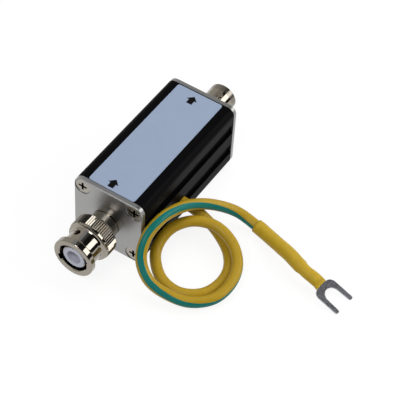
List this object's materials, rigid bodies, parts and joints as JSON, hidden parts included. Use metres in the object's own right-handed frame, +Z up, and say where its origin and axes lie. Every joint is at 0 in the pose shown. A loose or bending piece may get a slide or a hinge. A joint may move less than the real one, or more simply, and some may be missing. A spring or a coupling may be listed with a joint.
{
  "type": "coax lightning arrestor",
  "caption": "Box-shaped coaxial surge arrestor with a bayonet plug at its input, a bayonet jack at its output and an earth lead with a fork terminal.",
  "frame": {"origin": "centre of the housing's bottom face", "axes": "+X from the input plug to the output jack, +Z up; the earth lead leaves the -Y side"},
  "size_m": [0.0844, 0.0856, 0.0251],
  "materials": {
    "black_anodised": "satin black anodised",
    "plate_metal": "satin",
    "screw_steel": "dull zinc",
    "label": "satin printed film",
    "nickel": "bright nickel plate",
    "insulator": "smooth white",
    "gilt": "gold plated",
    "steel": "plain",
    "gasket": "silicone red",
    "board": "green lacquer",
    "ceramic": "white ceramic with plated caps",
    "black_resin": "moulded",
    "resistor": "lacquered",
    "copper": "bare copper",
    "wire_sheath": "yellow with a green stripe",
    "sleeve": "shrunk film, yellow",
    "tinned": "tinned copper"
  },
  "bodies": {
    "arrestor": {"housing": "black_anodised", "front_plate": "plate_metal", "rear_plate": "plate_metal", "front_plate_screws": "screw_steel", "rear_plate_screws": "screw_steel", "label": "label", "plug_body": "nickel", "plug_insulator": "insulator", "plug_pin": "gilt", "plug_lock_washer": "steel", "plug_nut": "nickel", "plug_gasket": "gasket", "wave_washer": "steel", "jack_body": "nickel", "jack_insulator": "insulator", "jack_contact": "gilt", "jack_lock_washer": "steel", "jack_nut": "nickel", "circuit_board": "board", "gas_discharge_tube": "ceramic", "suppressor_diode": "black_resin", "series_resistor": "resistor", "earth_core": "copper", "earth_wire": "wire_sheath", "shrink_sleeve": "sleeve", "fork_terminal": "tinned"},
    "thrust": {"thrust_washer": "steel"},
    "coupling": {"coupling": "nickel", "coupling_end_ring": "nickel"}
  },
  "joints": [
    {"name": "coupling_push", "type": "slide", "parent": "arrestor", "child": "thrust", "axis": [-1, 0, 0], "range_m": [0, 0.0008], "stiffness_N_per_m": 2000, "springref_m": -0.001, "deforming": ["wave_washer"]},
    {"name": "coupling_turn", "type": "hinge", "parent": "thrust", "child": "coupling", "pos_m": [-0.038, 0, 0.0125], "axis": [-1, 0, 0], "continuous": true}
  ]
}
